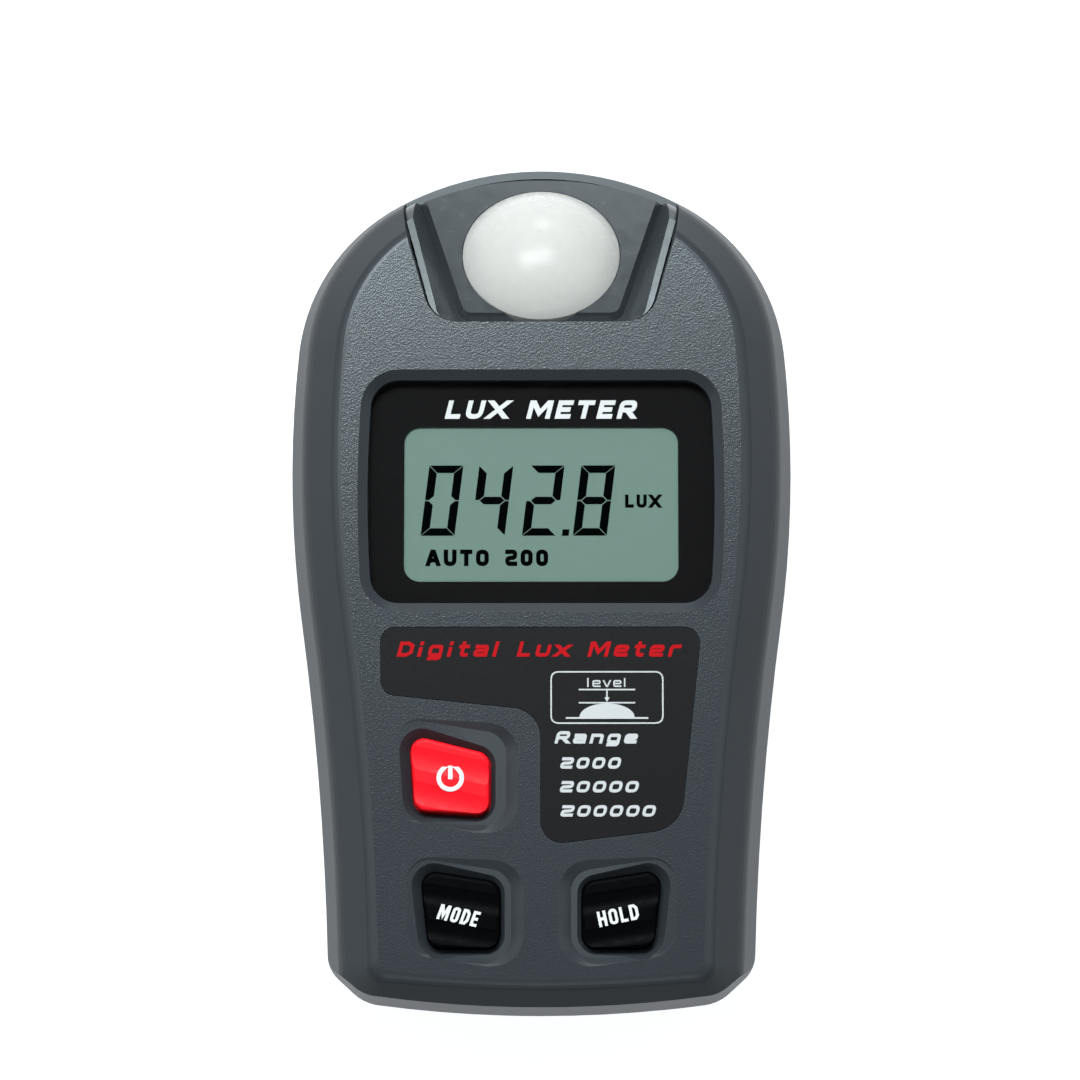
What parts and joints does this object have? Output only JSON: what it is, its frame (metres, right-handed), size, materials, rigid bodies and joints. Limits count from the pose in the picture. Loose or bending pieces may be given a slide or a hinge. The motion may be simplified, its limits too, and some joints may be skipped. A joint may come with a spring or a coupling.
{
  "type": "handheld light meter",
  "caption": "Pocket light meter with a domed light sensor, a display, push keys and a sliding battery door, lying on its back.",
  "frame": {"origin": "centre of the footprint, on the back face that it lies on", "axes": "+Z out of the display face, +Y towards the sensor head, +X towards the meter's right side as the display is read"},
  "size_m": [0.06, 0.102, 0.0257],
  "materials": {
    "case": "fine grained grey moulding",
    "case_smooth": "smooth satin grey moulding",
    "dome": "translucent white, polished",
    "lens": "clear polished window",
    "black_print": "black print",
    "silver_print": "silver film",
    "lcd_glass": "grey green display glass",
    "reflector": "satin reflector film",
    "black_plastic": "moulded black",
    "white_plastic": "moulded white",
    "zebra_rubber": "soft black rubber",
    "red_rubber": "satin red rubber",
    "black_rubber": "satin black rubber",
    "board": "green solder mask",
    "filter_glass": "green filter glass",
    "steel": "bright plated steel",
    "aluminium": "bare can",
    "cell_wrap": "printed sleeve on a steel can",
    "red_wire": "red insulation",
    "black_wire": "black insulation",
    "foam": "soft closed cell foam"
  },
  "bodies": {
    "case": {"front_shell": "case", "back_shell": "case", "sensor_head": "case_smooth", "diffuser_dome": "dome", "display_lens": "lens", "display_mask": "black_print", "front_label": "black_print", "rating_label": "silver_print", "lcd_front_glass": "lcd_glass", "lcd_rear_glass": "lcd_glass", "lcd_reflector": "reflector", "lcd_frame": "black_plastic", "zebra_strip_head": "zebra_rubber", "zebra_strip_foot": "zebra_rubber", "power_switch_body": "black_plastic", "mode_switch_body": "black_plastic", "hold_switch_body": "black_plastic", "dome_gasket": "zebra_rubber", "sensor_board": "board", "main_board": "board", "photodiode": "black_plastic", "colour_filter": "filter_glass", "controller_chip": "black_plastic", "amplifier_chip": "black_plastic", "crystal": "steel", "capacitors": "aluminium", "resistors": "black_plastic", "calibration_trimmer": "white_plastic", "case_screws": "steel", "board_screws": "steel", "sensor_screws": "steel", "battery_left": "cell_wrap", "battery_right": "cell_wrap", "foot_spring": "steel", "head_spring": "steel", "positive_contact": "steel", "negative_contact": "steel", "bridge_contact": "steel", "positive_wire": "red_wire", "negative_wire": "black_wire", "sensor_wire_left": "red_wire", "sensor_wire_right": "black_wire"},
    "power_button": {"power_key": "red_rubber", "power_switch_plunger": "white_plastic"},
    "mode_button": {"mode_key": "black_rubber", "mode_switch_plunger": "white_plastic"},
    "hold_button": {"hold_key": "black_rubber", "hold_switch_plunger": "white_plastic"},
    "door": {"battery_door": "case", "door_foam_pad": "foam"}
  },
  "joints": [
    {"name": "power_press", "type": "slide", "parent": "case", "child": "power_button", "axis": [0, 0, -1], "range_m": [0, 0.0005], "stiffness_N_per_m": 300},
    {"name": "mode_press", "type": "slide", "parent": "case", "child": "mode_button", "axis": [0, 0, -1], "range_m": [0, 0.0005], "stiffness_N_per_m": 300},
    {"name": "hold_press", "type": "slide", "parent": "case", "child": "hold_button", "axis": [0, 0, -1], "range_m": [0, 0.0005], "stiffness_N_per_m": 300},
    {"name": "door_slide", "type": "slide", "parent": "case", "child": "door", "axis": [0, -1, 0], "range_m": [0, 0.056]}
  ]
}
